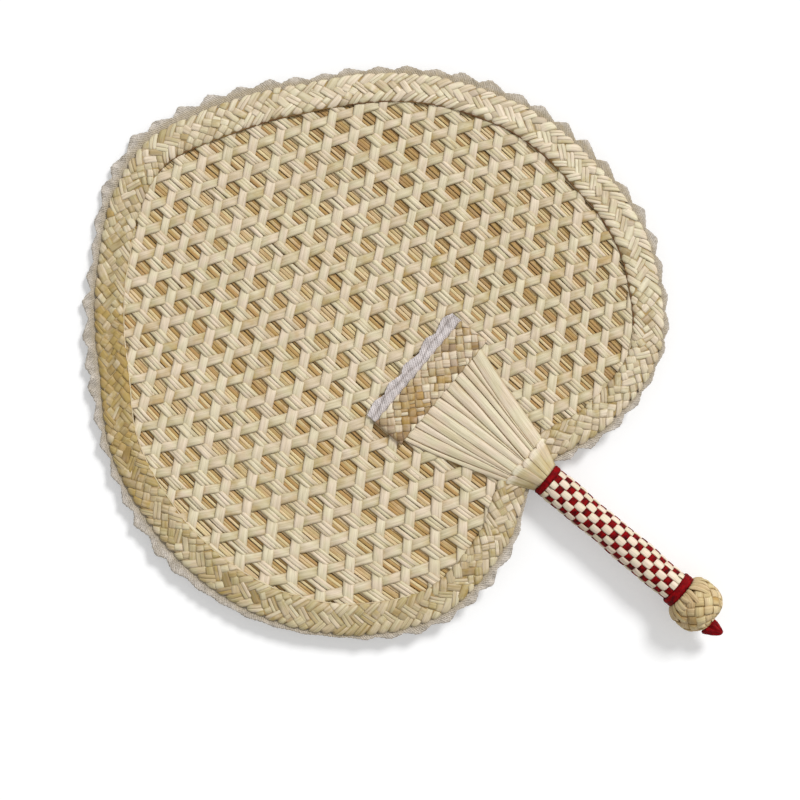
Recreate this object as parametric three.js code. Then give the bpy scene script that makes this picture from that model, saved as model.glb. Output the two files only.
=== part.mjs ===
// Palm leaf hand fan: a heart-shaped leaf of straw between two woven faces, a plaited rim with a
// scalloped lace edging, and a straw handle with a red ribbon woven through it.
// Millimetres, Z up. The leaf lies level, and +Y runs from the handle to the leaf's far edge.
import * as THREE from "three";

const degrees = Math.PI / 180;

// Clearance between pieces that touch
const seat = 0.3;

// Leaf outline: the rim plait's outer edge, as distances from the leaf's middle.
// The shares go from the far edge round to the neck in even steps, right side and left side.
const leafReach = 131.7;
const rightReachShares = [1, 0.944, 0.907, 0.89, 0.935, 1.011, 1.096, 1.207, 1.311, 1.382, 1.412, 1.295, 1.154];
const leftReachShares = [1, 0.99, 0.969, 0.982, 1.011, 1.111, 1.199, 1.295, 1.378, 1.428, 1.42, 1.295, 1.154];
const rimAboveNeck = 4.8;
const outlineStations = 720;

// Layers of the leaf, from the middle outwards
const matThickness = 1.2;
const weaveThickness = 1;
const laceThickness = 0.5;

// Rim plait, one on each face
const rimWidth = 16.5;
const rimThickness = 1.6;
const rimEdgeThickness = 1.1;
const rimInnerBevel = 1;
const rimRamp = 3.7;
const rimStations = 64;
const rimNeckGap = 3;

// Lace edging, held between the two rim plaits
const laceLap = 8;
const laceTipReach = 5;
const scallopDepth = 2.6;
const scallopPitch = 15.5;

// Open hexagon weave on the front face
const weaveLap = 4;
const hexagonPitch = 15;
const weaveStripWidth = 6.2;
const weaveTurn = -1.5 * degrees;
const weaveColumnShare = -0.354;
const weaveRowShare = 0.607;
const holeEdgeMargin = 1;

// Straws that spread from the neck over the leaf, on each face
const strawCount = 12;
const strawThickness = 0.8;
const seamFromNeck = 16;
const spreadHalfAtNeck = 9.1;
const spreadHalfAtSeam = 16.5;
const spreadHalfAtCross = 32.5;
const spreadSideAtNeck = 2.2;
const spreadTopAtNeck = 8.3;
const spreadTopAtSeam = 5.7;
const spreadCrownAtCross = 0.2;
const strawTuck = 6;
const strawSteps = 4;

// Plait and lace strip across the spread straws, on each face
const crossFromNeck = 73.3;
const crossDepth = 17.5;
const crossOverhang = 4.5;
const crossThickness = 1.8;
const crossEdgeBevel = 0.5;
const crossLaceLap = 7;
const crossLaceReach = 7;
const crossScallops = 5;

// Handle
const coreSides = 16;
const coreStopBeforeCross = 7.3;
const coreInset = 2.5;
const coreFlareLength = 1.6;
const neckBindingLength = 3.7;
const neckBindingRadius = 9.4;
const gripLength = 88.5;
const gripRadius = 9.3;
const gripStrawCount = 13;
const gripStrawWidth = 2.7;
const gripStrawThickness = 0.6;
const ribbonThickness = 0.45;
const ribbonWidth = 3.6;
const ribbonTurns = 17;
const ribbonEndMargin = 0.6;
const endBindingLength = 5.2;
const endBindingRadius = 10;
const bindingRound = 0.7;

// Knob and its red tip
const knobLength = 23.2;
const knobRadius = 15;
const knobMouthRadius = 9.6;
const knobSquareness = 2.5;
const knobSocketDepth = 8;
const tipLength = 8.4;
const tipRadius = 5.2;
const tipOffset = -4.9;
const turnedSides = 24;

// Places worked out from the sizes above
const leafMiddle = leafReach * rightReachShares.at(-1) + rimAboveNeck;
const matTop = matThickness / 2;
const weaveBottom = matTop + seat;
const weaveTop = weaveBottom + weaveThickness;
const spreadSide = weaveTop + seat;
const crossWidth = 2 * (spreadHalfAtCross + crossOverhang);
const columnSpacing = (hexagonPitch * Math.sqrt(3)) / 2;
const holeHalf = (columnSpacing - weaveStripWidth) / 2;
const coreEnd = crossFromNeck - coreStopBeforeCross;
const gripStrawOuter = gripRadius - ribbonThickness - seat;
const gripStrawInner = gripStrawOuter - gripStrawThickness;
const coreRadius = gripStrawInner - ribbonThickness - 2 * seat;
const gripTop = -neckBindingLength - seat;
const gripBottom = gripTop - gripLength;
const endBindingBottom = gripBottom - seat - endBindingLength;
const knobTop = endBindingBottom - seat;
const knobBottom = knobTop - knobLength;

const palePalm = { color: 0xe4dcc0, roughness: 0.62 };
const creamPalm = { color: 0xd9cba2, roughness: 0.66 };
const goldenPalm = { color: 0xc9a25c, roughness: 0.68 };
const redRibbon = { color: 0xa3121d, roughness: 0.5 };
const laceCloth = { color: 0xdcd6da, roughness: 0.85 };

const fan = new THREE.Group();

function add(name, geometry, look) {
  const mesh = new THREE.Mesh(geometry, new THREE.MeshStandardMaterial({ metalness: 0, ...look }));
  mesh.name = name;
  fan.add(mesh);
}

// Turns the faces round where the signed volume says that they point inwards.
function facingOut(geometry) {
  const place = geometry.getAttribute("position");
  const index = geometry.index.array;
  const [a, b, c] = [new THREE.Vector3(), new THREE.Vector3(), new THREE.Vector3()];
  let volume = 0;
  for (let i = 0; i < index.length; i += 3) {
    a.fromBufferAttribute(place, index[i]);
    b.fromBufferAttribute(place, index[i + 1]);
    c.fromBufferAttribute(place, index[i + 2]);
    volume += a.dot(b.cross(c));
  }
  if (volume < 0) index.reverse();
  return geometry;
}

// A closed body through rings of as many points each, with both ends filled.
// Each fill is worked out on flat points, one for each point of the ring at that end.
function loft(rings, startFlat, endFlat = startFlat) {
  const count = startFlat.length;
  const index = [];
  for (let ring = 0; ring + 1 < rings.length; ring++) {
    for (let i = 0; i < count; i++) {
      const [here, next] = [ring * count + i, ring * count + ((i + 1) % count)];
      index.push(here, next, next + count, here, next + count, here + count);
    }
  }
  const last = (rings.length - 1) * count;
  for (const [a, b, c] of fillOf(startFlat)) index.push(c, b, a);
  for (const [a, b, c] of fillOf(endFlat)) index.push(last + a, last + b, last + c);
  const geometry = new THREE.BufferGeometry().setFromPoints(rings.flat());
  return facingOut(geometry.setIndex(index));
}

// Triangles that fill an outline, wound the way that its points run
function fillOf(flat) {
  const triangles = THREE.ShapeUtils.triangulateShape(flat, []);
  return THREE.ShapeUtils.area(flat) > 0 ? triangles : triangles.map(([a, b, c]) => [c, b, a]);
}

// A flat plate of an outline, with holes, standing on a height.
function plate(outline, holes, bottom, thickness) {
  const shape = new THREE.Shape(outline);
  shape.holes = holes.map((hole) => new THREE.Path(hole));
  const geometry = new THREE.ExtrudeGeometry(shape, { depth: thickness, bevelEnabled: false });
  return geometry.translate(0, 0, bottom);
}

// A body turned about the Y axis from points of radius and height.
function turned(profile, sides = turnedSides) {
  return facingOut(new THREE.LatheGeometry(profile, sides));
}

const layerBottom = (face, bottom, thickness) => (face > 0 ? bottom : -bottom - thickness);

// The leaf's outline with the inward direction at each station, from the neck round by the right
function outlineStationsOf() {
  const step = 180 * degrees / (rightReachShares.length - 1);
  const at = (share, angle) =>
    new THREE.Vector3(leafReach * share * Math.sin(angle), leafMiddle + leafReach * share * Math.cos(angle), 0);
  const left = leftReachShares.slice(1, -1);
  const points = [
    ...rightReachShares.map((share, i) => at(share, i * step)).reverse(),
    ...left.map((share, i) => at(share, -(i + 1) * step)),
  ];
  const curve = new THREE.CatmullRomCurve3(points, true, "centripetal");
  return curve.getSpacedPoints(outlineStations).map((place, i) => {
    const along = curve.getTangentAt(i / outlineStations);
    return { place, inward: new THREE.Vector3(-along.y, along.x, 0) };
  });
}

const rimHalfAtNeck = spreadHalfAtNeck + rimNeckGap;
const wholeOutline = outlineStationsOf();
const rimOutline = wholeOutline.filter(({ place }) => place.y > leafMiddle || Math.abs(place.x) > rimHalfAtNeck);

// A point of the rim's line, as a share of its length, moved inwards by an inset
function rimPoint(share, inset) {
  const whole = share * (rimOutline.length - 1);
  const here = rimOutline[Math.floor(whole)];
  const next = rimOutline[Math.ceil(whole)];
  const place = here.place.clone().lerp(next.place, whole % 1);
  const inward = here.inward.clone().lerp(next.inward, whole % 1).normalize();
  return place.addScaledVector(inward, inset);
}

function rimLength() {
  let length = 0;
  for (let i = 1; i < rimOutline.length; i++) {
    length += rimOutline[i].place.distanceTo(rimOutline[i - 1].place);
  }
  return length;
}

// The spread straws' underside at a distance from the neck
function spreadAt(y) {
  const stations = [
    { y: 0, half: spreadHalfAtNeck, side: spreadSideAtNeck, top: spreadTopAtNeck },
    { y: seamFromNeck, half: spreadHalfAtSeam, side: spreadSide, top: spreadTopAtSeam },
    { y: crossFromNeck, half: spreadHalfAtCross, side: spreadSide, top: spreadSide + spreadCrownAtCross },
    {
      y: crossFromNeck + strawTuck,
      half: spreadHalfAtCross,
      side: spreadSide,
      top: spreadSide + spreadCrownAtCross,
    },
  ];
  const after = Math.max(1, stations.findIndex((station) => station.y >= y));
  const [low, high] = [stations[after - 1], stations[after]];
  const part = (y - low.y) / (high.y - low.y);
  const mix = (key) => THREE.MathUtils.lerp(low[key], high[key], part);
  return { half: mix("half"), side: mix("side"), top: mix("top") };
}

const coreHalf = (y) => spreadAt(y).half - coreInset;

// The leaf's outline at an inset, with a notch that the handle's core fits
function leafOutline(inset) {
  const round = Array.from({ length: rimStations + 1 }, (_, i) => rimPoint(i / rimStations, inset));
  const [start, end] = [round[0].y, round.at(-1).y];
  const notch = [
    [-coreHalf(end) - seat, end],
    [-coreHalf(seamFromNeck) - seat, seamFromNeck],
    [-coreHalf(coreEnd) - seat, coreEnd + seat],
    [coreHalf(coreEnd) + seat, coreEnd + seat],
    [coreHalf(seamFromNeck) + seat, seamFromNeck],
    [coreHalf(start) + seat, start],
  ];
  return [...round.map(({ x, y }) => new THREE.Vector2(x, y)), ...notch.map(([x, y]) => new THREE.Vector2(x, y))];
}

// Centres of the weave's open hexagons that fit inside an outline, clear of what the straws cover
function hexagonCentres(outline) {
  const reach = Math.max(...rightReachShares, ...leftReachShares) * leafReach;
  const columns = Math.ceil(reach / columnSpacing) + 1;
  const rows = Math.ceil(reach / hexagonPitch) + 1;
  const centres = [];
  for (let column = -columns; column <= columns; column++) {
    for (let row = -rows; row <= rows; row++) {
      const stagger = Math.abs(column % 2) / 2;
      const centre = new THREE.Vector2(
        (column + weaveColumnShare) * columnSpacing,
        (row + weaveRowShare + stagger) * hexagonPitch,
      );
      centre.rotateAround(new THREE.Vector2(), weaveTurn).add(new THREE.Vector2(0, leafMiddle));
      if (holeFits(centre, outline)) centres.push(centre);
    }
  }
  return centres;
}

// A hexagon with two of its sides along the leaf, turned with the weave
function hexagon(centre, apothem) {
  const sixth = 60 * degrees;
  const corner = apothem / Math.cos(sixth / 2);
  return Array.from({ length: 6 }, (_, i) => {
    const angle = (i + 1 / 2) * sixth + weaveTurn;
    return new THREE.Vector2(centre.x + corner * Math.cos(angle), centre.y + corner * Math.sin(angle));
  });
}

function holeFits(centre, outline) {
  const rim = hexagon(centre, holeHalf + holeEdgeMargin);
  const inside = rim.every((corner) => isInside(corner, outline));
  const clear = !outline.some((corner) => isInside(corner, rim));
  return inside && clear && !hexagon(centre, holeHalf).every(isUnderSpread);
}

function isInside(point, outline) {
  let inside = false;
  outline.forEach((a, i) => {
    const b = outline[(i + 1) % outline.length];
    const crosses = a.y > point.y !== b.y > point.y;
    if (crosses && point.x < a.x + ((point.y - a.y) / (b.y - a.y)) * (b.x - a.x)) inside = !inside;
  });
  return inside;
}

function isUnderSpread(point) {
  const onStraws = point.y < crossFromNeck && Math.abs(point.x) < spreadAt(point.y).half;
  const crossEnd = crossFromNeck + crossDepth + crossLaceReach - scallopDepth;
  const onCross = point.y > crossFromNeck && point.y < crossEnd && Math.abs(point.x) < crossWidth / 2;
  return onStraws || onCross;
}

function addLeaf() {
  const matInset = laceLap + seat;
  add("rib_mat", plate(leafOutline(matInset), [], -matTop, matThickness), goldenPalm);
  const weaveOutline = leafOutline(rimWidth - weaveLap);
  const holes = hexagonCentres(weaveOutline).map((centre) => hexagon(centre, holeHalf));
  const frontBottom = layerBottom(1, weaveBottom, weaveThickness);
  const backBottom = layerBottom(-1, weaveBottom, weaveThickness);
  add("front_weave", plate(weaveOutline, holes, frontBottom, weaveThickness), palePalm);
  add("back_weave", plate(weaveOutline, [], backBottom, weaveThickness), palePalm);
}

// The rim plait's section, as inset from the outer edge and height over the leaf's middle:
// it lies low over the mat's edge, then climbs onto the weave's.
function addRimPlait(face, name) {
  const low = weaveBottom;
  const high = weaveTop + seat;
  const rampTop = rimWidth - weaveLap - seat;
  const rampFoot = rampTop - rimRamp;
  const section = [
    [0, low],
    [rampFoot, low],
    [rampTop, high],
    [rimWidth, high],
    [rimWidth, high + rimEdgeThickness],
    [rimWidth - rimInnerBevel, high + rimThickness],
    [rampTop, high + rimThickness],
    [rampFoot, low + rimThickness],
    [0, low + rimEdgeThickness],
  ];
  const rings = Array.from({ length: rimStations + 1 }, (_, i) =>
    section.map(([inset, height]) => rimPoint(i / rimStations, inset).setZ(face * height)),
  );
  const flat = section.map(([inset, height]) => new THREE.Vector2(inset, height));
  add(name, loft(rings, flat), creamPalm);
}

// One scallop's outer edge: along it, and out from its valley, as shares of its pitch and depth
const scallopAlongShares = [0, 0.2, 0.5, 0.8];
const scallopOutShares = [0, 0.66, 1, 0.66];

function addLaceEdging() {
  const scallops = Math.round(rimLength() / scallopPitch);
  const valley = laceTipReach - scallopDepth;
  const outer = [];
  const inner = [];
  for (let i = 0; i < scallops; i++) {
    scallopAlongShares.forEach((along, j) => {
      outer.push(rimPoint((i + along) / scallops, -valley - scallopDepth * scallopOutShares[j]));
    });
    inner.push(rimPoint(i / scallops, laceLap));
  }
  outer.push(rimPoint(1, -valley));
  inner.push(rimPoint(1, laceLap));
  const outline = [...outer, ...inner.reverse()].map(({ x, y }) => new THREE.Vector2(x, y));
  add("lace_edging", plate(outline, [], -laceThickness / 2, laceThickness), laceCloth);
}

// A strip on the spread's surface between two shares of its half width
function spreadStrip(face, ys, shares, thickness, sideGap) {
  const acrossTop = shares.map((share) => ({ share, lift: thickness }));
  const section = [...shares.map((share) => ({ share, lift: 0 })), ...acrossTop.reverse()];
  const middle = (shares[0] + shares.at(-1)) / 2;
  const rings = ys.map((y) => {
    const { half, side, top } = spreadAt(y);
    return section.map(({ share, lift }) => {
      const x = share * half - Math.sign(share - middle) * sideGap;
      const height = side + (top - side) * (1 - share * share) + lift;
      return new THREE.Vector3(x, y, face * height);
    });
  });
  const flatten = (ring) => ring.map(({ x, z }) => new THREE.Vector2(x, z));
  return loft(rings, flatten(rings[0]), flatten(rings.at(-1)));
}

function addSpread(face, name) {
  const wrapShares = [-1, -0.75, -0.5, -0.25, 0, 0.25, 0.5, 0.75, 1];
  const wrapYs = [seat, seamFromNeck - seat / 2];
  add(name + "_neck_wrap", spreadStrip(face, wrapYs, wrapShares, strawThickness, 0), palePalm);
  const start = seamFromNeck + seat / 2;
  const ys = [];
  for (let i = 0; i < strawSteps; i++) {
    ys.push(THREE.MathUtils.lerp(start, crossFromNeck, i / (strawSteps - 1)));
  }
  ys.push(crossFromNeck + strawTuck);
  for (let i = 0; i < strawCount; i++) {
    const shares = [-1 + (2 * i) / strawCount, -1 + (2 * (i + 1)) / strawCount];
    const number = String(i + 1).padStart(2, "0");
    add(name + "_splay_straw_" + number, spreadStrip(face, ys, shares, strawThickness, seat / 2), palePalm);
  }
}

function addCross(face, name) {
  const bottom = spreadSide + spreadCrownAtCross + strawThickness + seat;
  const [near, far, half] = [crossFromNeck, crossFromNeck + crossDepth, crossWidth / 2];
  const section = [
    [near, bottom],
    [far, bottom],
    [far, bottom + crossThickness - crossEdgeBevel],
    [far - crossEdgeBevel, bottom + crossThickness],
    [near + crossEdgeBevel, bottom + crossThickness],
    [near, bottom + crossThickness - crossEdgeBevel],
  ];
  const flat = section.map(([y, z]) => new THREE.Vector2(y, z));
  const rings = [-half, half].map((x) => section.map(([y, z]) => new THREE.Vector3(x, y, face * z)));
  add(name + "_cross_plait", loft(rings, flat), creamPalm);

  const pitch = crossWidth / crossScallops;
  const valley = far + crossLaceReach - scallopDepth;
  const outline = [new THREE.Vector2(half, far - crossLaceLap)];
  for (let i = 0; i < crossScallops; i++) {
    scallopAlongShares.forEach((along, j) => {
      outline.push(new THREE.Vector2(half - (i + along) * pitch, valley + scallopDepth * scallopOutShares[j]));
    });
  }
  outline.push(new THREE.Vector2(-half, valley), new THREE.Vector2(-half, far - crossLaceLap));
  const laceBottom = layerBottom(face, spreadSide, laceThickness);
  add(name + "_cross_lace", plate(outline, [], laceBottom, laceThickness), laceCloth);
}

// The handle's core: a round rod that flattens into a tongue between the two sets of straws
function addCore() {
  const corner = (i) => (i * 360 * degrees) / coreSides;
  const ring = (y, halfWidth, halfHeight) =>
    Array.from(
      { length: coreSides },
      (_, i) => new THREE.Vector3(halfWidth * Math.cos(corner(i)), y, halfHeight * Math.sin(corner(i))),
    );
  const tongue = (y) => ring(y, coreHalf(y), spreadAt(y).top - seat);
  const rings = [
    ring(knobTop - knobSocketDepth + seat, coreRadius, coreRadius),
    ring(0, coreRadius, coreRadius),
    tongue(coreFlareLength),
    tongue(seamFromNeck),
    tongue(coreEnd),
  ];
  const flat = rings[0].map(({ x, z }) => new THREE.Vector2(x, z));
  add("handle_core", loft(rings, flat), creamPalm);
}

function addBinding(name, top, length, radius) {
  const [inner, bottom] = [coreRadius + seat, top - length];
  const profile = [
    [inner, bottom],
    [radius - bindingRound, bottom],
    [radius, bottom + bindingRound],
    [radius, top - bindingRound],
    [radius - bindingRound, top],
    [inner, top],
    [inner, bottom],
  ];
  const points = profile.map(([x, y]) => new THREE.Vector2(x, y));
  add(name, turned(points), redRibbon);
}

function addGripStraws() {
  const [half, step] = [gripStrawWidth / 2, (360 * degrees) / gripStrawCount];
  const section = [
    [-half, gripStrawInner],
    [half, gripStrawInner],
    [half, gripStrawOuter],
    [-half, gripStrawOuter],
  ];
  const flat = section.map(([x, z]) => new THREE.Vector2(x, z));
  for (let i = 0; i < gripStrawCount; i++) {
    const rings = [gripBottom, gripTop].map((y) => section.map(([x, z]) => new THREE.Vector3(x, y, z)));
    const number = String(i + 1).padStart(2, "0");
    add("grip_straw_" + number, loft(rings, flat).rotateY(i * step), palePalm);
  }
}

// The ribbon winds down the grip, over one straw and under the next. The count of straws is odd,
// so each turn passes a straw on the other side than the turn above it.
function addGripRibbon() {
  const step = (360 * degrees) / gripStrawCount;
  const crossings = ribbonTurns * gripStrawCount;
  const margin = ribbonWidth / 2 + ribbonEndMargin;
  const drop = (gripLength - 2 * margin) / crossings;
  const bend = Math.atan((gripStrawWidth / 2 + seat) / gripStrawOuter);
  const over = (gripStrawOuter + seat) / Math.cos(bend);
  const under = (gripStrawInner - seat - ribbonThickness) / Math.cos(bend);
  const rings = [];
  for (let i = 0; i <= crossings; i++) {
    const inner = i % 2 ? over : under;
    for (const side of [-1, 1]) {
      const angle = i * step + side * bend;
      const y = gripTop - margin - (angle / step) * drop;
      rings.push(ribbonRing(angle, y, inner));
    }
  }
  rings.shift();
  rings.pop();
  const flat = [
    [0, 0],
    [0, ribbonWidth],
    [ribbonThickness, ribbonWidth],
    [ribbonThickness, 0],
  ].map(([x, y]) => new THREE.Vector2(x, y));
  add("grip_ribbon", loft(rings, flat), redRibbon);
}

function ribbonRing(angle, y, inner) {
  const outer = inner + ribbonThickness;
  const half = ribbonWidth / 2;
  return [
    [inner, -half],
    [inner, half],
    [outer, half],
    [outer, -half],
  ].map(([radius, along]) => new THREE.Vector3(radius * Math.sin(angle), y + along, radius * Math.cos(angle)));
}

// A ball with flattened ends, with a socket for the core in its upper end
function addKnob() {
  const steps = 10;
  const power = knobSquareness;
  const mouthShare = (1 - (knobMouthRadius / knobRadius) ** power) ** (1 / power);
  const halfLength = knobLength / (1 + mouthShare);
  const middle = knobBottom + halfLength;
  const mouthAngle = Math.asin(mouthShare ** (power / 2));
  const profile = [];
  for (let i = 0; i <= steps; i++) {
    const angle = THREE.MathUtils.lerp(-90 * degrees, mouthAngle, i / steps);
    const radius = knobRadius * Math.cos(angle) ** (2 / power);
    const height = Math.sign(angle) * halfLength * Math.abs(Math.sin(angle)) ** (2 / power);
    profile.push(new THREE.Vector2(i ? radius : 0, middle + height));
  }
  const socketRadius = coreRadius + seat;
  profile.push(
    new THREE.Vector2(socketRadius, knobTop),
    new THREE.Vector2(socketRadius, knobTop - knobSocketDepth),
    new THREE.Vector2(0, knobTop - knobSocketDepth),
  );
  add("knob", turned(profile), creamPalm);
}

function addTip() {
  const top = knobBottom - seat;
  const radiusShares = [0, 0.85, 1, 0.8, 0.45, 0];
  const lengthShares = [0, 0, 0.15, 0.45, 0.8, 1];
  const profile = radiusShares.map(
    (share, i) => new THREE.Vector2(tipRadius * share, top - tipLength * lengthShares[i]),
  );
  add("red_tip", turned(profile, turnedSides / 2).translate(tipOffset, 0, 0), redRibbon);
}

addLeaf();
addLaceEdging();
for (const [face, name] of [[1, "front"], [-1, "back"]]) {
  addRimPlait(face, name + "_rim_plait");
  addSpread(face, name);
  addCross(face, name);
}
addCore();
addBinding("neck_binding", 0, neckBindingLength, neckBindingRadius);
addGripStraws();
addGripRibbon();
addBinding("end_binding", gripBottom - seat, endBindingLength, endBindingRadius);
addKnob();
addTip();

// The origin goes under the middle of the fan, at the height that it rests on.
const box = new THREE.Box3().setFromObject(fan);
const middle = box.getCenter(new THREE.Vector3());
fan.position.set(-middle.x, -middle.y, -box.min.z);

export default fan;
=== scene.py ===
"""Dresses the woven hand fan: every straw, strip and plait cell is a closed strip of mesh.

Lengths are millimetres in the neck frame: the origin is on the handle's axis at the top of the neck
binding, +Y runs up the leaf, and Z is the height over the leaf's middle layer. A piece is moved into the
fan's own frame, in metres, when it is built. The camera, the lamp and the floor are in metres.
"""

import math

import bpy
import numpy as np
from mathutils import Matrix, Vector


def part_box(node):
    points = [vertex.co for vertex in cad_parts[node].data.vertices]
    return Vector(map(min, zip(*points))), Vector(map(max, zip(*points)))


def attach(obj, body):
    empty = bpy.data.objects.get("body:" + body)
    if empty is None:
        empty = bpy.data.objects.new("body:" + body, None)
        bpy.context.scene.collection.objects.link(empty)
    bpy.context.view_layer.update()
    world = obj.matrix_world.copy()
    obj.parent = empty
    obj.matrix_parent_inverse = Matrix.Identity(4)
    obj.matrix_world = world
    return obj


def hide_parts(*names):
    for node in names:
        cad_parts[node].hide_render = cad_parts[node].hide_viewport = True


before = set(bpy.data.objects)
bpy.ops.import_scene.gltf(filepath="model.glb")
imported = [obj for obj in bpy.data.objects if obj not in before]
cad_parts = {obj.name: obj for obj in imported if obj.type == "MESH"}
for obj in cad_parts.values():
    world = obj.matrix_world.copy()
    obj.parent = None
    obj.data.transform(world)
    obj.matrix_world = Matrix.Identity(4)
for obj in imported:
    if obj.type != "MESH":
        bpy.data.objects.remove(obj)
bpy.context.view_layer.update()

MM = 0.001
TURN = 2 * math.pi
rng = np.random.default_rng(23)
neck_lo, neck_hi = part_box("neck_binding")
NECK = np.array([(neck_lo.x + neck_hi.x) / 2, neck_hi.y, (neck_lo.z + neck_hi.z) / 2])
FACES = ((1, "front"), (-1, "back"))

# Range of the random phases of slow waves, about a full turn
PHASES = 6.28


# Meshes


def ease(x):
    """0 below 0, 1 above 1, and smooth between them."""
    x = np.clip(x, 0, 1)
    return x * x * (3 - 2 * x)


def bump_at(x, middle, reach, power=2):
    """1 at the middle and close to 0 past the reach."""
    return np.exp(-(((x - middle) / reach) ** power))


def circle(count):
    """Angles evenly round a turn."""
    return np.linspace(0, TURN, count + 1)[:-1]


def lengths(line):
    """The length along a line of points at each point."""
    return np.concatenate([[0], np.cumsum(np.linalg.norm(np.diff(line, axis=0), axis=1))])


def between(at, run, columns):
    """Each column's values at places along a run."""
    return [np.interp(at, run, column) for column in columns]


def grid(*parts):
    """Values side by side in the last axis, from parts that broadcast to one shape."""
    return np.stack(np.broadcast_arrays(*parts), -1)


def raised(flat, height):
    """Places on the leaf lifted to heights over its middle layer."""
    return grid(flat[..., 0], flat[..., 1], height)


def around(radius, angle, y):
    """Points round the handle's axis, at angles from straight up."""
    return grid(radius * np.sin(angle), y, radius * np.cos(angle))


def linked(name, data):
    """A new object in the scene."""
    item = bpy.data.objects.new(name, data)
    bpy.context.scene.collection.objects.link(item)
    return item


class Piece:
    """Collects closed bodies, with the straw's grain and tone at each point.

    Grain is the place along and across the straw in millimetres, and a number of its own for each straw.
    Tone is brightness, share of gold, place across the straw from 0 to 1, and share of brown.
    """

    def __init__(self, name):
        self.name, self.count = name, 0
        self.parts = [[] for _ in range(5)]

    def keep(self, points, grain, tone, faces, flat):
        """Adds bodies of quads that face outwards. A triangle repeats its last corner."""
        a, b, c, d = (points[faces[:, i]] for i in range(4))
        volume = np.einsum("ij,ij->", a, np.cross(b, c)) + np.einsum("ij,ij->", a, np.cross(c, d))
        if volume < 0:
            faces = faces[:, [0, 3, 2, 1]]
            faces = np.where(faces[:, [1]] == faces[:, [2]], faces[:, [0, 2, 3, 3]], faces)
        used, faces = np.unique(faces, return_inverse=True)
        parts = points[used], grain[used], tone[used], faces.reshape(-1, 4) + self.count, flat
        for kept, part in zip(self.parts, parts):
            kept.append(part)
        self.count += len(used)

    def slabs(self, top, bottom, along, across, bright, gold, brown=0.0, mask=None, shares=(0, 1)):
        """Closed plates between two grids of points, each (items, rows, columns, 3). A mask keeps cells.

        Shares are the first and last column's places across the straw. The walls are shaded flat.
        """
        shape = items, rows, columns = top.shape[:3]
        size = rows * columns
        index = np.arange(size).reshape(rows, columns)
        cell = grid(index[:-1, :-1], index[:-1, 1:], index[1:, 1:], index[1:, :-1]).reshape(-1, 4)
        upper = cell + (np.arange(items) * 2 * size)[:, None, None]
        upper = upper.reshape(-1, 4) if mask is None else upper[mask.reshape(items, -1)]
        edges = np.concatenate([upper[:, [i, (i + 1) % 4]] for i in range(4)])
        total = items * 2 * size
        code, reverse = edges @ [total, 1], edges @ [1, total]
        a, b = edges[~np.isin(reverse, code)].T
        faces = np.concatenate([upper, upper[:, ::-1] + size, grid(b, a, a + size, b + size)])
        flat = np.arange(len(faces)) >= 2 * len(upper)
        seed = np.broadcast_to((rng.random(items) * 400)[:, None, None], shape)
        share = np.broadcast_to(np.linspace(*shares, columns), shape)
        pairs = (top, bottom), [grid(along, across, seed)] * 2, [grid(bright, gold, share, brown)] * 2
        self.keep(*(np.stack(pair, 1).reshape(-1, pair[0].shape[-1]) for pair in pairs), faces, flat)

    def slab(self, top, bottom, along, across, *tone, mask=None):
        """One closed plate between two grids of points, each (rows, columns, 3)."""
        self.slabs(top[None], bottom[None], along[None], across[None], *tone, mask=mask)

    def loft(self, rings, bright=0.6, gold=0.1, brown=0.0, closed=False):
        """A closed body through rings of points. Its ends are flat, unless it closes on itself."""
        count, size = rings.shape[:2]
        index = np.arange(count * size).reshape(count, size)
        here, after = (index, np.roll(index, -1, 0)) if closed else (index[:-1], index[1:])
        faces = grid(here, np.roll(here, -1, 1), np.roll(after, -1, 1), after).reshape(-1, 4)
        points = rings.reshape(-1, 3)
        grain = grid(lengths(rings.mean(1))[:, None], lengths(rings[count // 2]), rng.random() * 400)
        if not closed:
            points = np.concatenate([points, [rings[0].mean(0), rings[-1].mean(0)]])
            a, b = index[0], index[-1]
            start = grid(count * size, np.roll(a, -1), a, a)
            end = grid(count * size + 1, b, np.roll(b, -1), np.roll(b, -1))
            faces = np.concatenate([faces, start, end])
        grain = np.pad(grain.reshape(-1, 3), ((0, len(points) - count * size), (0, 0)))
        tone = np.tile([bright, gold, 0.5, brown], (len(points), 1))
        self.keep(points, grain, tone, faces, np.arange(len(faces)) >= here.size)

    def build(self, material, slot, *nodes):
        """The object, in metres, riding on the fan and standing for the named nodes."""
        points, grain, tone, faces, flat = (np.concatenate(parts) for parts in self.parts)
        corners = [quad[:3] if quad[2] == quad[3] else quad for quad in faces.tolist()]
        mesh = bpy.data.meshes.new(self.name)
        mesh.from_pydata((points * MM + NECK).tolist(), [], corners)
        mesh.polygons.foreach_set("use_smooth", ~flat)
        grain_data = mesh.attributes.new("grain", "FLOAT_VECTOR", "POINT").data
        grain_data.foreach_set("vector", grain.astype(np.float32).ravel())
        tone_data = mesh.attributes.new("tone", "FLOAT_COLOR", "POINT").data
        tone_data.foreach_set("color", tone.astype(np.float32).ravel())
        mesh.materials.append(material)
        piece = linked(self.name, mesh)
        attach(piece, "root")
        if nodes:
            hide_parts(*nodes)
        return piece


# Materials


def colour(code):
    """Linear colour from a six-digit display colour."""
    parts = [int(code[i : i + 2], 16) / 255 for i in (0, 2, 4)]
    return [x / 12.92 if x <= 0.04045 else ((x + 0.055) / 1.055) ** 2.4 for x in parts] + [1]


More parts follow.
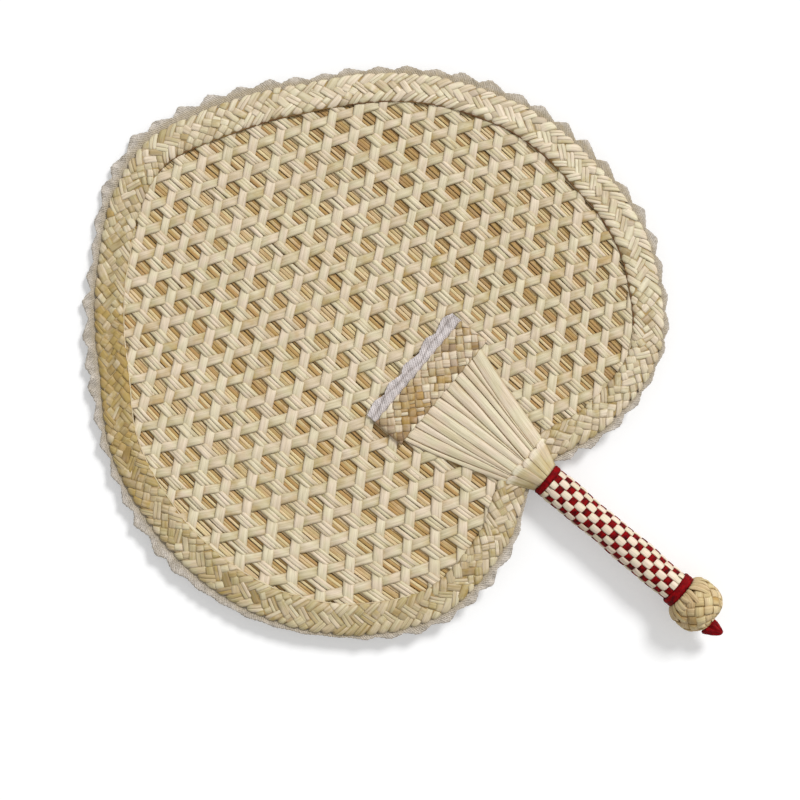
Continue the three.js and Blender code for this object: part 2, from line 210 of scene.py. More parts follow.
class Graph:
    """The shader nodes of a material or world, added one call at a time."""

    def __init__(self, owner):
        self.owner = owner
        owner.use_nodes = True
        owner.node_tree.nodes.clear()

    def add(self, kind, inputs=(), **settings):
        tree = self.owner.node_tree
        node = tree.nodes.new(kind)
        for key, value in settings.items():
            setattr(node, key, value)
        for key, value in dict(inputs).items():
            if isinstance(value, bpy.types.NodeSocket):
                tree.links.new(value, node.inputs[key])
            else:
                node.inputs[key].default_value = value
        return node

    def math(self, operation, *values):
        return self.add("ShaderNodeMath", dict(enumerate(values)), operation=operation).outputs[0]

    def sum(self, a, b, share=1.0):
        """One value plus a share of another."""
        return self.math("ADD", a, b if share == 1 else self.math("MULTIPLY", b, share))

    def clamp(self, value):
        return self.add("ShaderNodeClamp", {"Value": value}).outputs[0]

    def mix(self, factor, a, b, blend="MIX"):
        node = self.add("ShaderNodeMix", {0: factor, 6: a, 7: b}, data_type="RGBA", blend_type=blend)
        return node.outputs[2]

    def shaded(self, shade, grey):
        """A colour times a grey value."""
        greys = self.add("ShaderNodeCombineColor", {i: grey for i in range(3)})
        return self.mix(1.0, shade, greys.outputs[0], "MULTIPLY")

    def span(self, value, low, high, to_low=0.0, to_high=1.0):
        inputs = {"Value": value, 1: low, 2: high, 3: to_low, 4: to_high}
        return self.add("ShaderNodeMapRange", inputs, interpolation_type="SMOOTHSTEP").outputs[0]

    def scaled(self, vector, along, across, apart=1.0):
        inputs = {0: vector, 1: (along, across, apart)}
        return self.add("ShaderNodeVectorMath", inputs, operation="MULTIPLY").outputs[0]

    def noise(self, grain, along, across, detail=2.0, rough=0.55):
        vector = self.scaled(grain, along, across)
        inputs = {"Vector": vector, "Scale": 1.0, "Detail": detail, "Roughness": rough}
        return self.add("ShaderNodeTexNoise", inputs).outputs[0]

    def grain(self):
        return self.add("ShaderNodeAttribute", attribute_name="grain").outputs["Vector"]

    def tone(self):
        """Brightness, gold, place across and brown."""
        tone = self.add("ShaderNodeAttribute", attribute_name="tone").outputs
        return *self.add("ShaderNodeSeparateColor", {0: tone["Color"]}).outputs, tone["Alpha"]

    def finish(self, shader, output="ShaderNodeOutputMaterial"):
        self.add(output, {"Surface": shader})
        return self.owner

    def surface(self, shade, rough, relief, strength, depth, settings):
        """The finished material. Settings are the shader's values that are the same all over."""
        bump = self.add("ShaderNodeBump", {"Height": relief, "Strength": strength, "Distance": depth})
        inputs = {"Base Color": shade, "Roughness": rough, "Normal": bump.outputs[0]} | settings
        return self.finish(self.add("ShaderNodeBsdfPrincipled", inputs).outputs[0])


def sheen(weight, rough, specular):
    return {"Sheen Weight": weight, "Sheen Roughness": rough, "Specular IOR Level": specular}


def straw(name, dark, light, gold, brown="6b4423", worn_and_shaded_edge="94703a", rim=0.72, edge=0.55, fibre=0.16,
          solid=False):
    """Split palm straw: long fibres, bands and blotches of colour, and browned edges that are partly wear
    and partly painted shade in the gaps between straws.

    The browned edge, wear together with painted shade between straws, starts at the share rim of the half
    width, and edge is its strength. A solid has no grain or tone of its own, so its fibres run along Y.
    """
    g = Graph(bpy.data.materials.new(name))
    if solid:
        place = g.add("ShaderNodeTexCoord").outputs["Object"]
        x, y, z = g.add("ShaderNodeSeparateXYZ", {0: place}).outputs
        grain = g.add("ShaderNodeCombineXYZ", {0: y, 1: x, 2: z}).outputs[0]
        grain = g.scaled(grain, 1 / MM, 1 / MM, 1 / MM)
        bright, golden, across, browned = 0.5, 0.3, 0.5, 0.2
    else:
        grain = g.grain()
        bright, golden, across, browned = g.tone()
    fine = g.noise(grain, 0.09, 3.2, 3.0, 0.6)
    band = g.noise(grain, 0.035, 0.75)
    blotch = g.noise(grain, 0.11, 0.16)
    level = g.sum(g.math("MULTIPLY", bright, 0.75), g.span(band, 0.3, 0.7), 0.3)
    shade = g.mix(g.clamp(g.math("SUBTRACT", level, 0.02)), colour(dark), colour(light))
    turned = g.sum(golden, g.math("SUBTRACT", blotch, 0.5), 1.5)
    shade = g.mix(g.span(turned, 0.2, 0.85, 0.0, 0.85), shade, colour(gold))
    hue = g.span(g.noise(grain, 0.08, 0.1, 1.0), 0.4, 0.6)
    shade = g.mix(0.7, shade, g.mix(hue, colour("fff6ee"), colour("f9fae8")), "MULTIPLY")
    shade = g.shaded(shade, g.span(fine, 0.36, 0.56, 1 - fibre, 1.03))
    side = g.math("ABSOLUTE", g.math("SUBTRACT", g.math("MULTIPLY", across, 2.0), 1.0))
    # Edges browned towards the worn colour: partly wear, partly painted shade where neighbouring straws meet
    edge_wear_and_shade = g.math("MULTIPLY", g.span(side, rim, 1.0, 0.0, edge), g.span(blotch, 0.3, 0.65, 0.35, 1.0))
    shade = g.mix(edge_wear_and_shade, shade, colour(worn_and_shaded_edge))
    shade = g.mix(g.math("MULTIPLY", browned, g.span(band, 0.25, 0.6, 0.55, 1.0)), shade, colour(brown))
    rough = g.span(fine, 0.3, 0.7, 0.43, 0.63)
    relief = g.sum(g.math("MULTIPLY", fine, 0.6), band, 0.5)
    return g.surface(shade, rough, relief, 0.5, 0.18 * MM, sheen(0.04, 0.4, 0.26))


def ribbon_cloth(name, deep, bright):
    """Satin ribbon: fine ribs across it, soft sheen, and random patches of painted shade, a shaded deep red
    against a lit bright red, that stand for folds.
    """
    g = Graph(bpy.data.materials.new(name))
    grain = g.grain()
    ribs = {"Vector": g.scaled(grain, 1.0, 0.15), "Scale": 1.1, "Distortion": 0.6}
    rib = g.add("ShaderNodeTexWave", ribs).outputs[0]
    cloud = g.noise(grain, 0.35, 0.5, 3.0)
    # Painted light and shade: the cloud blends a shaded deep red with a lit bright red
    shade = g.mix(g.span(cloud, 0.3, 0.7), colour(deep), colour(bright))
    shade = g.shaded(shade, g.span(rib, 0.0, 1.0, 0.84, 1.04))
    rough = g.span(cloud, 0.2, 0.8, 0.42, 0.6)
    return g.surface(shade, rough, g.sum(rib, cloud), 0.45, 0.12 * MM, sheen(0.02, 0.35, 0.06))


def lace_cloth(name, deep, pale, thread_shade, rib=0.5, waver=1.6, cords=0.35, mesh=0.4):
    """Thin lace: a mesh of threads with small holes between them, and corded lines along it."""
    g = Graph(bpy.data.materials.new(name))
    grain = g.grain()
    bright, tan = g.tone()[:2]
    net = {"Vector": g.scaled(grain, 1.15, 1.15), "Scale": 1.0}
    threads = g.add("ShaderNodeTexVoronoi", net, feature="DISTANCE_TO_EDGE").outputs[0]
    thread = g.span(threads, 0.05, 0.2, 1.0, 0.0)
    ribs = {"Vector": g.scaled(grain, 1.0, 0.7), "Scale": rib, "Distortion": waver, "Detail": 2.0}
    cord = g.add("ShaderNodeTexWave", ribs, bands_direction="DIAGONAL").outputs[0]
    fuzz = g.noise(grain, 0.5, 0.5, 4.0)
    cloud = g.noise(grain, 0.16, 0.2)
    level = g.sum(g.math("MULTIPLY", cord, cords), fuzz, 0.5)
    level = g.sum(g.sum(level, bright), g.span(cloud, 0.3, 0.7, -0.2, 0.2))
    shade = g.mix(g.clamp(g.math("SUBTRACT", level, 0.45)), colour(deep), colour(pale))
    shade = g.mix(g.math("MULTIPLY", thread, mesh), shade, colour(thread_shade))
    shade = g.mix(g.math("MULTIPLY", tan, g.span(fuzz, 0.3, 0.7, 0.5, 0.85)), shade, colour("b09c73"))
    relief = g.sum(g.math("MULTIPLY", thread, 0.6), cord)
    filled = g.clamp(g.sum(thread, g.span(fuzz, 0.25, 0.6, 0.66, 0.96)))
    return g.surface(shade, 0.85, relief, 0.8, 0.25 * MM, sheen(0.2, 0.5, 0.15) | {"Alpha": filled})


WEAVE_STRAW = straw("palm_strip_pale", "b0a06c", "ecdfca", "bb9e5d", edge=0.3)
GROUND_STRAW = straw(
    "palm_ground_straw", "b6955d", "ead6ad", "be995e", "8c663c", "8a6537", rim=0.84, edge=0.7, fibre=0.2
)
PLAIT_STRAW = straw("palm_plait_straw", "ae9b68", "f0e5d1", "b39656", edge=0.38)
CROSS_STRAW = straw("palm_cross_straw", "a58b59", "f6ebd9", "b48e48", "7c552a", edge=0.5)
SPREAD_STRAW = straw("palm_spread_straw", "beab7e", "f2e7d4", "c6aa6e", edge=0.5, fibre=0.2)
GRIP_STRAW = straw("palm_grip_straw", "ccb893", "fdf0e2", "d2b88a", edge=0.5)
KNOB_STRAW = straw("palm_knob_straw", "aa8952", "efdeb6", "b88f4c", edge=0.8, fibre=0.25)
CORE_STRAW = straw("palm_core_straw", "8a6b3c", "cdb684", "a07c3e", solid=True)
RED_RIBBON = ribbon_cloth("red_ribbon_cloth", "420204", "98060a")
RED_BINDING = ribbon_cloth("red_binding_cloth", "5c0208", "96060e")
RIM_LACE = lace_cloth("lace_mesh", "a3967f", "ded4ca", "ece4d9")
CROSS_LACE = lace_cloth(
    "cross_lace_mesh", "ab9f99", "eae1df", "f3ece9", rib=0.42, waver=1.4, cords=0.3, mesh=0.2
)


# The leaf's outline: the rim plait's outer edge, as shares of the reach from the leaf's middle. The shares
# go from the far edge round to the neck in even steps, right side and left side.

LEAF_REACH = 131.7
RIGHT_SHARES = [1, 0.944, 0.907, 0.89, 0.935, 1.011, 1.096, 1.207, 1.311, 1.382, 1.412, 1.295, 1.154]
LEFT_SHARES = [1, 0.99, 0.969, 0.982, 1.011, 1.111, 1.199, 1.295, 1.378, 1.428, 1.42, 1.295, 1.154]
LEAF_MIDDLE = LEAF_REACH * RIGHT_SHARES[-1] + 4.8
RIM_WIDTH, NECK_HALF = 16.5, 9.3
KNOT_STEPS, RIM_POINTS = 80, 961

# Distances from the neck up the leaf, and the spread straws' bed at them: half width and crown height
SEAM, CORE_STOP, CROSS_NEAR = 16, 66.3, 73.3
SPREAD_AT = [0, SEAM, CROSS_NEAR, CROSS_NEAR + 6]
SPREAD_BED = [9.1, 16.5, 32.5, 32.5], [8.3, 5.7, 2.4, 2.4]
SPREAD_SIDE = 2.2

# How far the layers' notch for the handle's core keeps off the rim's ends and the bed's sides
NOTCH_END, NOTCH_SIDE = 3.1, 2.2


def outline():
    """Places on the rim's outer edge and the way inwards, from the neck's right round to its left."""
    step = math.pi / (len(RIGHT_SHARES) - 1)
    turns = [(share, i * step) for i, share in enumerate(RIGHT_SHARES)][::-1]
    turns += [(share, -(i + 1) * step) for i, share in enumerate(LEFT_SHARES[1:-1])]
    knots = np.array([(s * math.sin(a), s * math.cos(a)) for s, a in turns]) * LEAF_REACH + [0, LEAF_MIDDLE]
    t = np.linspace(0, 1, KNOT_STEPS, endpoint=False)[:, None]
    curve = []
    for i in range(len(knots)):
        p0, p1, p2, p3 = (knots[(i + k - 1) % len(knots)] for k in range(4))
        d0, d1, d2 = (math.sqrt(np.linalg.norm(b - a)) for a, b in ((p0, p1), (p1, p2), (p2, p3)))
        m1 = ((p1 - p0) / d0 - (p2 - p0) / (d0 + d1) + (p2 - p1) / d1) * d1
        m2 = ((p2 - p1) / d1 - (p3 - p1) / (d1 + d2) + (p3 - p2) / d2) * d1
        h1, h2 = 2 * t**3 - 3 * t**2 + 1, t**3 - 2 * t**2 + t
        curve.append(h1 * p1 + h2 * m1 + (1 - h1) * p2 + (t**3 - t**2) * m2)
    curve = np.vstack(curve + [knots[:1]])
    run = lengths(curve)
    line = grid(*between(np.linspace(0, run[-1], RIM_POINTS), run, curve.T))
    along = np.gradient(line, axis=0)
    along /= np.linalg.norm(along, axis=1)[:, None]
    kept = (line[:, 1] > LEAF_MIDDLE) | (np.abs(line[:, 0]) > NECK_HALF)
    return line[kept], grid(-along[:, 1], along[:, 0])[kept]


LINE, INWARD = outline()
RIM_RUN = lengths(LINE)
RIM_LENGTH = RIM_RUN[-1]


def rim(t, inset):
    """Places on the leaf at lengths along the rim's outer edge and insets from it."""
    place, way = (grid(*between(t, RIM_RUN, table.T)) for table in (LINE, INWARD))
    way /= np.linalg.norm(way, axis=-1)[..., None]
    return place + way * np.asarray(inset)[..., None]


def leaf_edge(inset):
    """The leaf's outline at an inset, with the notch for the handle's core."""
    edge = rim(np.linspace(NOTCH_END, RIM_LENGTH - NOTCH_END, 241), np.full(241, inset))
    notch = [(-1, edge[-1, 1]), (-1, SEAM), (-1, CORE_STOP), (1, CORE_STOP), (1, SEAM), (1, edge[0, 1])]
    halves = np.interp([y for _, y in notch], SPREAD_AT, SPREAD_BED[0]) - NOTCH_SIDE
    return np.vstack([edge, [(side * half, y) for (side, y), half in zip(notch, halves)]])


def inside(flat, inset):
    """Which cells of a grid of places have their middle inside the leaf's edge at an inset."""
    x, y = np.moveaxis((flat[:, 1:, 1:] + flat[:, :-1, :-1]) / 2, -1, 0)
    edge = leaf_edge(inset)
    result = np.zeros(x.shape, bool)
    for a, b in zip(edge, np.roll(edge, -1, 0)):
        if a[1] != b[1]:
            crosses = (a[1] > y) != (b[1] > y)
            result ^= crosses & (x < a[0] + (y - a[1]) / (b[1] - a[1]) * (b[0] - a[0]))
    return result


# The leaf's layers. The front weave's even pattern has three sets of strips, and the ground's straws run
# along one of them.

HEX_PITCH = 15
ROW_GAP = HEX_PITCH * math.sqrt(3) / 2
STRAW_PITCH = ROW_GAP / 7
LATTICE_START = np.array([-0.354 * ROW_GAP, 0.607 * HEX_PITCH])
LATTICE_TURN = math.radians(-1.5)
LAYER_REACH = 195

# How far the leaf's own pattern is moved from the even one, across and along: everywhere, and with the
# powers of X and Y where each is the reach
BEND_REACH = 100
BENDS = {
    "": (1, 0.5), "x": (-7.5, 0.5), "y": (-2.5, -4), "xx": (1, -1), "xy": (3.5, 2.5), "yy": (0, 3),
    "xxx": (3.5, 1), "xxy": (-1, -0.5), "xyy": (5, -3), "yyy": (1, 0.5),
}

# Directions of the three sets of strips in degrees, and the set that each one lies over
OVER = {90: 30, 150: 90, 30: 150}
UNDER = {over: angle for angle, over in OVER.items()}

WEAVE_MIDDLE, WEAVE_INSET = 1.36, 12.9
FRONT_WAVE, BACK_WAVE = 0.5, 0.24
STRIP_THICKNESS = 0.22
# Painted light and shade on the woven strips: how far a strip's brightness follows its height, lighter where
# it rises and darker where it dips, and how much more golden it is painted in the dips
PAINTED_LIGHT_BY_HEIGHT, PAINTED_GOLD_SHADE_IN_DIPS = 0.26, 0.27
BACK_PITCH, BACK_WIDTH = 6.5, 6.25
GROUND_INSET, GROUND_HALF_HEIGHT = 9, 0.46

# Kinds of the ground's straws: how often each comes, its brightness, gold and brown
GROUND_KINDS = np.array([
    (0.34, 0.95, 0.05, 0.0), (0.28, 0.62, 0.4, 0.03), (0.22, 0.4, 0.75, 0.1), (0.16, 0.2, 0.5, 0.36)
])


def drifted(place):
    """Where a place in the even pattern lies on the leaf, whose straws are a little spread and bent."""
    c, s = math.cos(LATTICE_TURN), math.sin(LATTICE_TURN)
    x, y = np.moveaxis(place, -1, 0)
    result = even = grid(c * x - s * y, s * x + c * y)
    for _ in range(8):
        x, y = np.moveaxis(result / BEND_REACH, -1, 0)
        moved = np.zeros(2)
        for kind, size in BENDS.items():
            moved = moved + (x ** kind.count("x") * y ** kind.count("y"))[..., None] * size
        result = even - moved
    return result + [0, LEAF_MIDDLE]


def facing(angle):
    """Unit vectors along and across a set of strips."""
    a = math.radians(angle)
    return np.array([math.cos(a), math.sin(a)]), np.array([math.sin(a), -math.cos(a)])


def strips(piece, face, angle, lines, width, height, wave, start, move, bright, gold, step=1.75, columns=5,
           crown=0.12, tilt=0.03, shares=(0, 1)):
    """Strips at one angle, over the whole leaf, each at a distance across from the start.

    Height gives a strip's level at a place in the even pattern, and move takes that place to the leaf.
    Bright and gold are each a mean and a spread. A strip is painted paler where it rises over the others
    (painted highlight), and painted duller and more golden where it dips under them (painted shade).
    """
    count = len(lines)
    bright, gold = (np.clip(rng.normal(*x, count), 0, 1)[:, None, None] for x in (bright, gold))
    direction, normal = facing(angle)
    run = np.arange(-LAYER_REACH, LAYER_REACH, step)
    share = np.linspace(-1, 1, columns)
    widths = width * (1 + rng.normal(0, 0.055, count))
    phase = rng.random((count, 3)) * PHASES
    wander = 0.26 * np.sin(run[None] / 31 + phase[:, :1]) + 0.2 * np.sin(run[None] / 13 + phase[:, 1:2])
    swell = 1 + 0.08 * np.sin(run[None] / 9 + phase[:, 2:])
    across = (widths[:, None] / 2 * swell)[..., None] * share
    place = start + direction * run[None, :, None, None]
    place = place + normal * (np.asarray(lines)[:, None, None] + wander[..., None] + across)[..., None]
    flat = move(place)
    level = height(place)
    rise = (level - WEAVE_MIDDLE) / wave
    # Painted highlight where the strip rises over the others, painted shade where it dips under them
    bright = np.clip(bright + PAINTED_LIGHT_BY_HEIGHT * rise, 0, 1)
    gold = np.clip(gold + PAINTED_GOLD_SHADE_IN_DIPS * np.clip(-rise, 0, 1), 0, 1)
    top = level + crown * (1 - share**2) + STRIP_THICKNESS / 2
    top = top + rng.normal(0, tilt, (count, 1, 1)) * share
    mask = inside(flat, WEAVE_INSET)
    held = mask.any((1, 2))
    upper = raised(flat, face * top)[held]
    lower = raised(flat, face * (top - STRIP_THICKNESS))[held]
    tone = bright[held], gold[held]
    piece.slabs(upper, lower, run[None, :, None], across[held], *tone, mask=mask[held], shares=shares)


def hexagon_height(angle):
    """Height of one set of strips in the open hexagon weave: over one set and under the other."""

    def near(place, other):
        share = (place - LATTICE_START) @ facing(other)[1] / ROW_GAP - 0.5
        return 1 - ease((np.abs(share - np.round(share)) * ROW_GAP - 0.9) / 3.3)

    return lambda place: WEAVE_MIDDLE + FRONT_WAVE * (near(place, OVER[angle]) - near(place, UNDER[angle]))


def close_height(angle, over):
    """Height of one set of strips in the close weave: over and under the other set by turns."""
    direction, normal = facing(angle)

    def height(place):
        along, across = place @ direction / BACK_PITCH, place @ normal / BACK_PITCH
        return WEAVE_MIDDLE + over * BACK_WAVE * np.cos(math.pi * along) * np.cos(math.pi * np.round(across))

    return height


def add_front_weave():
    """Strips in three directions. Those along the ground's straws are split in three."""
    piece = Piece("front_hexagon_weave")
    rows = (np.arange(-17, 17) + 0.5) * ROW_GAP
    thirds = np.sort(np.concatenate([rows - STRAW_PITCH, rows, rows + STRAW_PITCH]))
    third = {"columns": 3, "crown": 0.05, "tilt": 0.07, "shares": (0.13, 0.87)}
    for angle, lines, width, bright, gold, form in (
        (90, thirds, STRAW_PITCH * 1.17, 0.67, 0.06, third),
        (150, rows, 5.0, 0.6, 0.25, {}),
        (30, rows, 4.8, 0.86, 0.0, {}),
    ):
        strips(
            piece, 1, angle, lines, width, hexagon_height(angle), FRONT_WAVE, LATTICE_START, drifted,
            (bright, 0.1), (gold, 0.09), **form,
        )
    piece.build(WEAVE_STRAW, "pale_palm", "front_weave")


def add_back_weave():
    piece = Piece("back_close_weave")
    lines = np.arange(-31, 32) * BACK_PITCH
    for angle, over in ((45, 1), (135, -1)):
        strips(
            piece, -1, angle, lines, BACK_WIDTH, close_height(angle, over), BACK_WAVE, np.zeros(2),
            lambda place: place + [0, LEAF_MIDDLE], (0.6, 0.16), (0.16, 0.12), BACK_PITCH / 3, 4,
        )
    piece.build(WEAVE_STRAW, "pale_palm", "back_weave")


def add_ground():
    """The ribs between the two weaves, as round straws side by side."""
    piece = Piece("ground_straws")
    lines = (np.arange(-95, 96) + 0.5) * STRAW_PITCH
    lines = lines + rng.normal(0, 0.13, len(lines))
    run = np.arange(-LAYER_REACH, LAYER_REACH, 5.0)
    share = np.linspace(-1, 1, 6)
    phase = rng.random((len(lines), 1)) * PHASES
    bent = 0.1 * np.sin(run[None] / 23 + phase) + 0.05 * np.sin(run[None] / 7 + 2 * phase)
    half = STRAW_PITCH * np.clip(rng.normal(0.475, 0.025, len(lines)), 0.4, 0.5)[:, None, None]
    x = (lines[:, None] + bent)[..., None] + share * half
    flat = drifted(LATTICE_START + grid(x, run[None, :, None]))
    lift = rng.normal(0, 0.07, (len(lines), 1, 1))
    bulge = GROUND_HALF_HEIGHT * np.sqrt(1 - 0.8 * share**4)
    mask = inside(flat, GROUND_INSET)
    held = mask.any((1, 2))
    kind = rng.choice(len(GROUND_KINDS), len(lines), p=GROUND_KINDS[:, 0])[held]
    tone = GROUND_KINDS[kind, 1:].T[..., None, None]
    upper, lower = raised(flat, lift + bulge)[held], raised(flat, lift - bulge)[held]
    piece.slabs(upper, lower, run[None, :, None], (share * half)[held], *tone, mask=mask[held])
    piece.build(GROUND_STRAW, "golden_palm", "rib_mat")


# Plaits. A cell is a stretch of straw that shows, and its half sizes are shares of the pitch.

TWILL_HALF, PLAIN_HALF = 0.7071, 0.3536
CELL_GAP_SHARE = 0.99
EDGE_SQUEEZE = 0.22
END_SQUEEZE, END_SLACK = 0.05, 0.6


def plait(piece, place, ends, width, columns, pitch, twill, looks, tuck=1.14, drop=0.5, thickness=0.4,
          loose=0.07, crown=0.16, split=0.0, blocks=None):
    """A flat plait on the slant. Place maps length, inset and lift to points.

    In a twill each straw shows over two others, so its cells are long and meet in a herringbone. In a plain
    plait it shows over one, so the cells are square. Split is the share of cells that are two thin straws
    side by side, and blocks gives the share at each length that are two short ones end to end.
    """
    low, high = ends
    steps = round((high - low) / pitch)
    pitch = (high - low) / steps
    column_gap = width / columns
    unit = column_gap if twill else 2 * column_gap
    u, v = np.meshgrid(np.linspace(-1, 1, 7), np.linspace(-1, 1, 4), indexing="ij")
    forms = (0, u, v), (1, u, v / 2 - 0.5), (1, u, v / 2 + 0.5), (2, u / 2 - 0.5, v), (2, u / 2 + 0.5, v)
    for column in range(columns if twill else columns + 1):
        middle = (column + 0.5 * twill) * column_gap
        lean = -1 if column % 2 else 1
        slot = np.arange(steps) + (0.75 if column % 2 else 0.25)
        jitter = rng.normal(0, 0.5 * loose, (steps, 2)).T
        swing = rng.normal(0, loose, steps)
        half_long = (TWILL_HALF if twill else PLAIN_HALF) * tuck * rng.normal(1, 0.6 * loose, steps)
        half_wide = PLAIN_HALF * CELL_GAP_SHARE * rng.normal(1, loose, steps)
        sunk, rolled = rng.normal(0, 0.1, steps), rng.normal(0, 0.09, steps)
        draw = rng.random(steps)
        short = 1 - (blocks(low + slot * pitch) if blocks else 0)
        kind = np.where(draw < split * short, 1, np.where(draw > short, 2, 0))
        cells = np.array([slot, *jitter, swing, half_long, half_wide, sunk, rolled])
        for number, down, part in forms:
            if not (kind == number).any():
                continue
            at, ahead, aside, turn, long_, wide, sink, roll = cells[:, kind == number, None, None]
            long_, wide = long_ * down, wide * part
            along = (long_ - lean * wide) / math.sqrt(2)
            across = (lean * long_ + wide) / math.sqrt(2)
            t = low + (at + ahead + along - turn * across) * pitch
            n = middle + (aside + across + turn * along) * unit
            past = width + (n - width) * EDGE_SQUEEZE
            n = np.where(n < 0, n * EDGE_SQUEEZE, np.where(n > width, past, n))
            first = low - END_SLACK + END_SQUEEZE * (t - low)
            t = np.clip(t, first, high + END_SLACK + END_SQUEEZE * (t - high))
            dip = drop * np.abs(u) ** 3 + crown * v**2 + sink + roll * part
            tone = looks(t[:, 3:4, :1], n[:, 3:4, :1])
            top, bottom = place(t, n, -dip), place(t, n, -dip - thickness)
            piece.slabs(top, bottom, long_ * pitch * 1.4, wide * unit, *tone)


def drawn(like, mean, spread):
    """One random value for each cell."""
    return rng.normal(mean, spread, like.shape)


def by_chance(like, share, value=1.0):
    """The value for a share of the cells, chosen at random, and 0 for the rest."""
    return np.where(rng.random(like.shape) < share, value, 0.0)


# Insets from the rim's outer edge, and the heights there of its plait and of the filling under the cells
RIM_TOP = (-1, 0, 0.9, 2.5, 8.5, 12.2, 14.8, 16.5, 17.5), (0.7, 1.2, 1.9, 2.4, 2.6, 3.7, 3.6, 2.85, 2.5)
RIM_BOTTOM = (0, 8.5, 12.2, 16.5), (0.95, 0.95, 2.25, 2.25)

# Insets of the plait's two edges at lengths along the rim, which is sewn on by hand and wanders
PLAIT_EDGES = [
    (3, 0.1, 16), (53, 0.1, 16), (103, 0.3, 17), (153, 0.6, 17.4), (195, 2.7, 20.2), (208, 2.6, 19.9),
    (245, 0.4, 16.6), (259, 0.1, 15.6), (343, 0.1, 15.6), (373, 0.2, 16.1), (410, 2.1, 19.4),
    (428, 2.4, 19.5), (468, 1.6, 18.1), (513, 0.4, 17.4), (573, 1.3, 17.3), (613, 0.6, 16.4),
    (693, 0.4, 17.2), (853, 0.1, 17.3), (883, 0.1, 16.5), (962, 0.1, 16.8),
]

# Lengths along the rim where a dark brown strip, a painted shadow on the side away from the lamp, and a pale
# strip, a painted highlight on the side towards it, show inside the plait, and their tones
PAINTED_EDGE_SHADOW_AND_HIGHLIGHT = (((100, 480),), (0.1, 0.6, 0.95)), (((530, 865), (78, 100)), (0.55, 0.25, 0.0))


def stations(table, t):
    """The two values of a table of stations at lengths along the rim, blended over a few millimetres."""
    at = np.arange(-20, RIM_LENGTH + 20)
    window = np.hanning(19) / np.hanning(19).sum()
    run, *columns = np.array(table).T
    return between(t, at, [np.convolve(column, window, "same") for column in between(at, run, columns)])


def add_rim(face, name):
    """The plait round the leaf's edge, a filling under its cells painted darker as shade between them, and a
    painted shadow and painted highlight along its inner edge.
    """
    piece = Piece(name + "_rim_plait_cells")

    def place(t, n, lift):
        outer, inner = stations(PLAIT_EDGES, t)
        inset = outer + (inner - outer) * n / RIM_WIDTH
        return raised(rim(t, inset), face * (np.interp(n, *RIM_TOP) + lift))

    def blocks(t):
        patches = 0.5 * bump_at(t, 430, 55, 4) + 0.5 * bump_at(t, 640, 150, 4)
        return 0.12 + 0.5 * ease((140 - t) / 40) + 0.5 * ease((t - 890) / 30) + patches

    def looks(t, n):
        x, y = np.moveaxis(rim(t, np.zeros(t.shape)), -1, 0)
        angle = np.degrees(np.arctan2(y - LEAF_MIDDLE, x))
        golden = bump_at(angle, 150, 36) + 0.35 * bump_at(angle, -105, 40)
        patch = np.sin(t / 17 + 2) * np.sin(t / 7.3) * 0.1
        gold = np.clip(drawn(t, 0.08, 0.14) + 0.55 * golden + patch, 0, 1)
        # Painted light: the plait is painted brighter towards +X, the lamp's side, and darker on the far
        # side
        bright = np.clip(drawn(t, 0.64, 0.21) - 0.26 * golden + 0.28 * np.cos(np.radians(angle)), 0, 1)
        return bright, gold, by_chance(t, 0.04, 0.35)

    ends = 0.8, RIM_LENGTH - 0.8
    plait(
        piece, place, ends, RIM_WIDTH, 3, 6.3, True, looks, loose=0.11, drop=0.42, split=0.55, blocks=blocks
    )
    # The filling stands for the straws under the cells and is painted darker than them, as shade in the gaps
    # between cells
    t = np.linspace(0.3, RIM_LENGTH - 0.3, 560)[:, None]
    t, n = np.broadcast_arrays(t, [[1.3, 2.5, 5, 8.5, 10.3, 12.2, 14.4, 16.2]])
    upper = place(t, n, -0.5)
    piece.slab(upper, raised(upper[..., :2], face * np.interp(n, *RIM_BOTTOM)), n, t, 0.3, 0.5, 0.2)
    # Thin strips along the plait's inner edge: a dark brown one painted as shadow and a pale one painted as
    # highlight
    t = t[:, :4]
    n = np.array([[16.3, 16.5, 16.75, 16.95]]) + 0.1 * np.sin(t / 6)
    upper = place(t, n, np.array([-0.45, -0.25, -0.3, -0.5]))
    for stretches, tone in PAINTED_EDGE_SHADOW_AND_HIGHLIGHT:
        shown = sum((t > start) & (t < end) for start, end in stretches)[:-1, :-1] > 0
        piece.slab(upper, upper - [0, 0, face * 0.5], t, n, *tone, mask=shown)
    piece.build(PLAIT_STRAW, "cream_palm", name + "_rim_plait")


# The cross plait, whose ends turn down round a radius
CROSS_DEPTH, CROSS_HALF, CROSS_TURN, CROSS_TOP = 17.5, 37.0, 2.4, 5.25


def stain(t, n, at, inset, reach, depth):
    return np.exp(-(((t - at) / reach) ** 2 + ((n - inset) / depth) ** 2))


